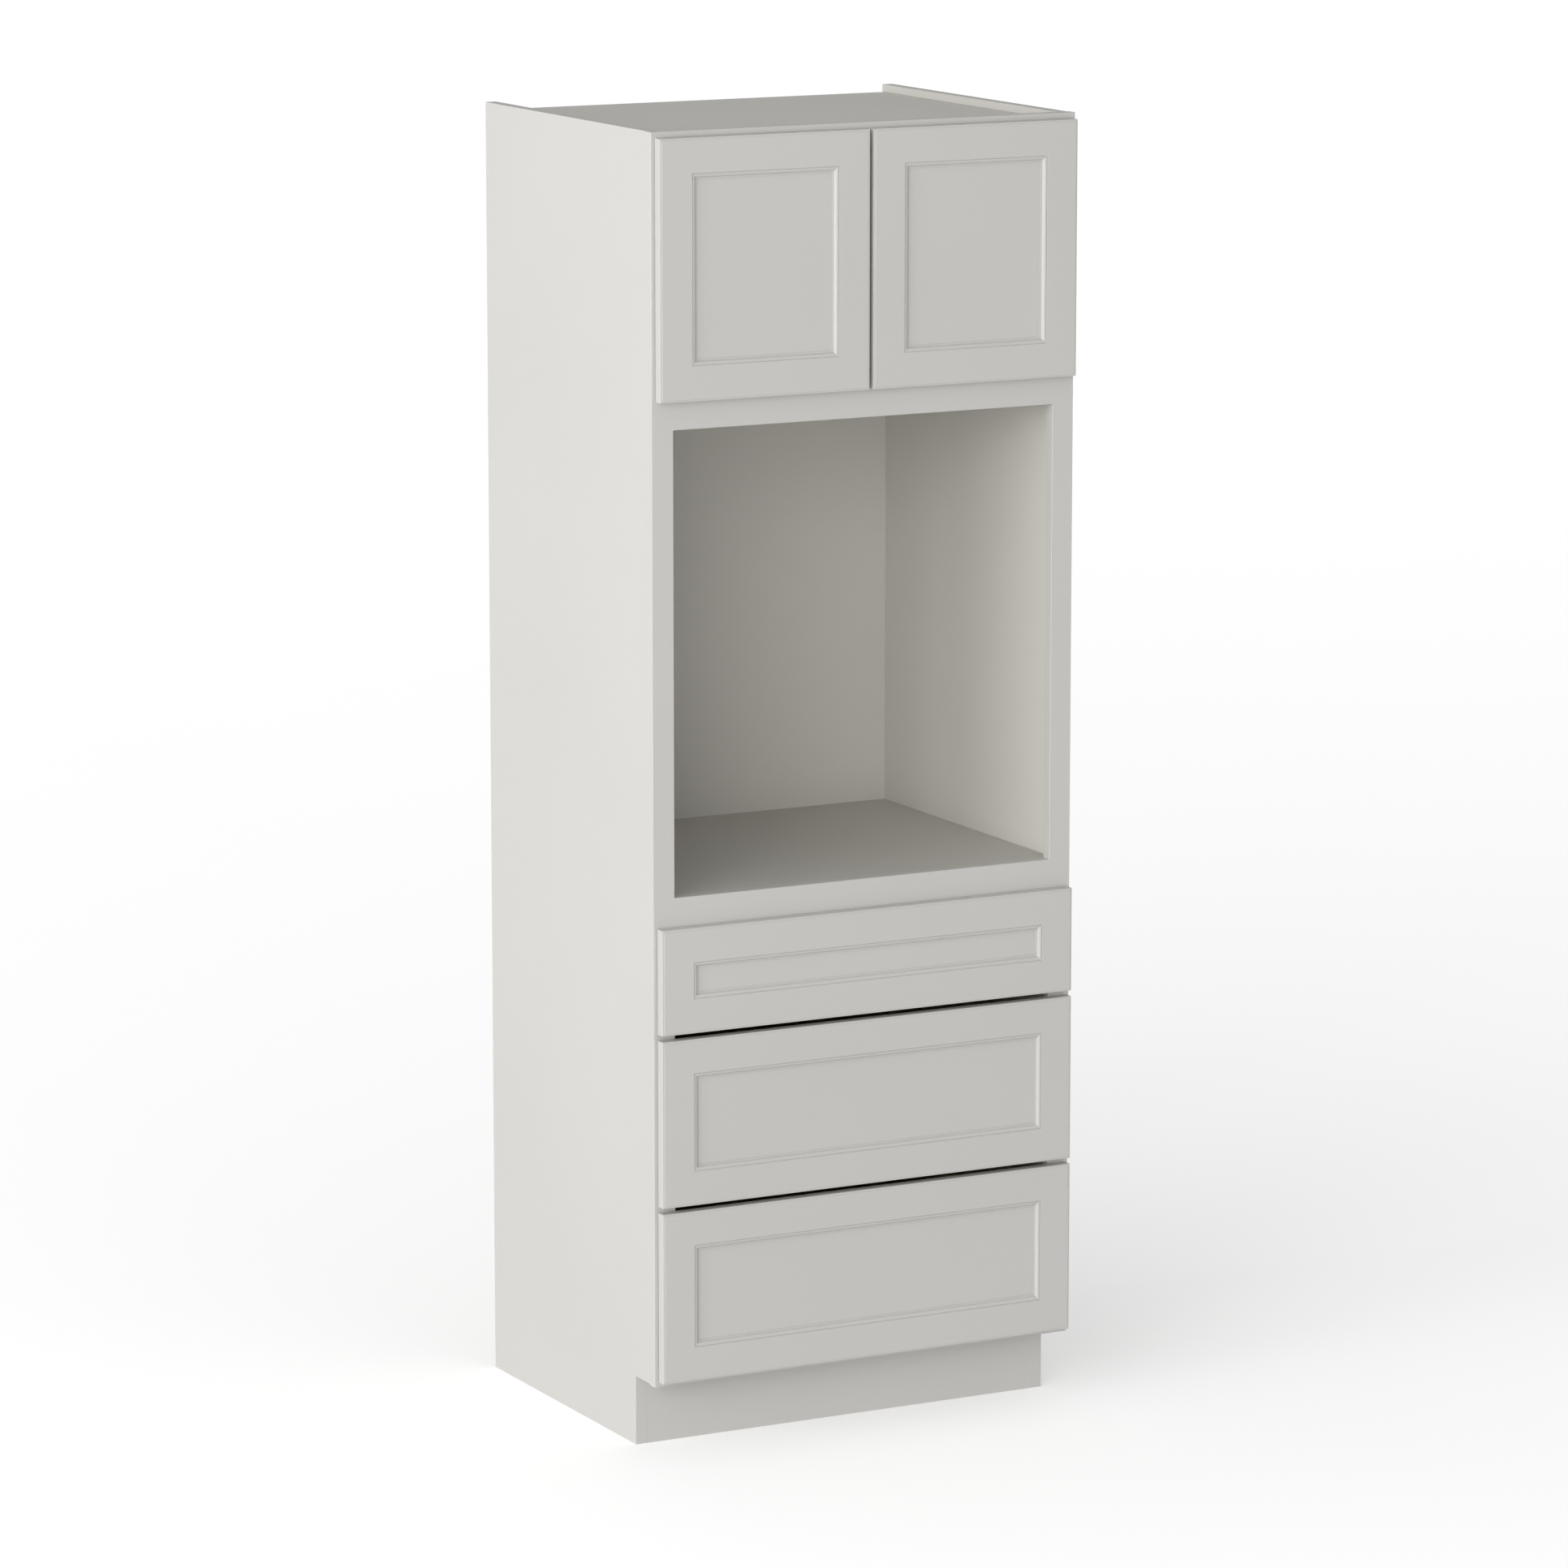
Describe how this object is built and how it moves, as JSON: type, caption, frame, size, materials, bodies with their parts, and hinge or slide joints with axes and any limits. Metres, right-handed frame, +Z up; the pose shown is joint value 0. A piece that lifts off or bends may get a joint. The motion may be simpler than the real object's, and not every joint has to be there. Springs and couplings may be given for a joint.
{
  "type": "tall oven cabinet",
  "caption": "Tall painted face-frame kitchen cabinet with framed doors above an open bay for a built-in oven, framed drawers below it and a recessed toe kick.",
  "frame": {"origin": "on the floor under the middle of the whole cabinet", "axes": "+Z up; the doors and drawers face -Y and the back faces +Y; +X is to the right of a person who faces the doors"},
  "size_m": [0.762, 0.6302, 2.1336],
  "materials": {
    "cabinet_paint": "satin paint, light warm grey",
    "front_paint": "satin paint, light warm grey",
    "interior_paint": "satin paint, light warm grey",
    "drawer_wood": "clear satin lacquer on birch",
    "runner_steel": "zinc plated",
    "hinge_nickel": "satin nickel plated"
  },
  "bodies": {
    "carcass": {"side_left": "cabinet_paint", "side_right": "cabinet_paint", "top_panel": "interior_paint", "cupboard_floor": "interior_paint", "oven_floor": "interior_paint", "bottom_panel": "interior_paint", "back_panel": "interior_paint", "shelf": "interior_paint", "toe_kick": "cabinet_paint", "frame_stile_left": "cabinet_paint", "frame_stile_right": "cabinet_paint", "frame_rail_top": "cabinet_paint", "frame_rail_above_bay": "cabinet_paint", "frame_rail_below_bay": "cabinet_paint", "frame_rail_bottom": "cabinet_paint", "hinge_plate_left_lower": "hinge_nickel", "hinge_plate_left_upper": "hinge_nickel", "drawer_1_runner_left": "runner_steel", "drawer_2_runner_left": "runner_steel", "drawer_3_runner_left": "runner_steel", "hinge_plate_right_lower": "hinge_nickel", "hinge_plate_right_upper": "hinge_nickel", "drawer_1_runner_right": "runner_steel", "drawer_2_runner_right": "runner_steel", "drawer_3_runner_right": "runner_steel"},
    "door_left": {"door_left_stile_hinge": "front_paint", "door_left_stile_meeting": "front_paint", "door_left_rail_bottom": "front_paint", "door_left_rail_top": "front_paint", "door_left_panel": "front_paint", "hinge_cup_left_lower": "hinge_nickel", "hinge_cup_left_upper": "hinge_nickel"},
    "door_right": {"door_right_stile_hinge": "front_paint", "door_right_stile_meeting": "front_paint", "door_right_rail_bottom": "front_paint", "door_right_rail_top": "front_paint", "door_right_panel": "front_paint", "hinge_cup_right_lower": "hinge_nickel", "hinge_cup_right_upper": "hinge_nickel"},
    "drawer_1": {"drawer_1_front_stile_left": "front_paint", "drawer_1_front_stile_right": "front_paint", "drawer_1_front_rail_bottom": "front_paint", "drawer_1_front_rail_top": "front_paint", "drawer_1_front_panel": "front_paint", "drawer_1_box": "drawer_wood", "drawer_1_bottom": "drawer_wood"},
    "drawer_2": {"drawer_2_front_stile_left": "front_paint", "drawer_2_front_stile_right": "front_paint", "drawer_2_front_rail_bottom": "front_paint", "drawer_2_front_rail_top": "front_paint", "drawer_2_front_panel": "front_paint", "drawer_2_box": "drawer_wood", "drawer_2_bottom": "drawer_wood"},
    "drawer_3": {"drawer_3_front_stile_left": "front_paint", "drawer_3_front_stile_right": "front_paint", "drawer_3_front_rail_bottom": "front_paint", "drawer_3_front_rail_top": "front_paint", "drawer_3_front_panel": "front_paint", "drawer_3_box": "drawer_wood", "drawer_3_bottom": "drawer_wood"}
  },
  "joints": [
    {"name": "door_left_hinge", "type": "hinge", "parent": "carcass", "child": "door_left", "pos_m": [-0.37065, -0.31205, 1.91725], "axis": [0, 0, -1], "range_deg": [0, 110]},
    {"name": "door_right_hinge", "type": "hinge", "parent": "carcass", "child": "door_right", "pos_m": [0.37065, -0.31205, 1.91725], "axis": [0, 0, 1], "range_deg": [0, 110]},
    {"name": "drawer_1_slide", "type": "slide", "parent": "carcass", "child": "drawer_1", "axis": [0, -1, 0], "range_m": [0, 0.5]},
    {"name": "drawer_2_slide", "type": "slide", "parent": "carcass", "child": "drawer_2", "axis": [0, -1, 0], "range_m": [0, 0.5]},
    {"name": "drawer_3_slide", "type": "slide", "parent": "carcass", "child": "drawer_3", "axis": [0, -1, 0], "range_m": [0, 0.5]}
  ]
}
